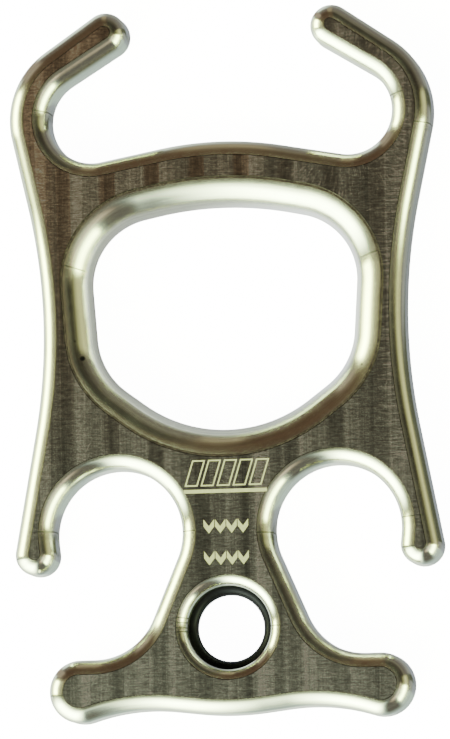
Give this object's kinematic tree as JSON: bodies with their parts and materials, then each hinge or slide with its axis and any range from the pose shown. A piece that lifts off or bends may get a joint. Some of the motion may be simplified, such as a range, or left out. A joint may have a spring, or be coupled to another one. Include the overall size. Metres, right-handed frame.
{
  "type": "figure eight descender",
  "caption": "Flat milled descender plate with rope hole, horns, side hooks and feet, and a rubber ring in its attachment eye.",
  "frame": {"origin": "middle of the back face, half way along the plate, with the plate lying flat", "axes": "+Y along the plate towards the horns, +X across it, +Z out of the front face"},
  "size_m": [0.0882, 0.1464, 0.012],
  "materials": {
    "milled_aluminium": "milled faces, polished rounded edges",
    "black_rubber": "semi-gloss"
  },
  "bodies": {
    "root": {"descender_plate": "milled_aluminium", "retaining_ring": "black_rubber"}
  },
  "joints": []
}
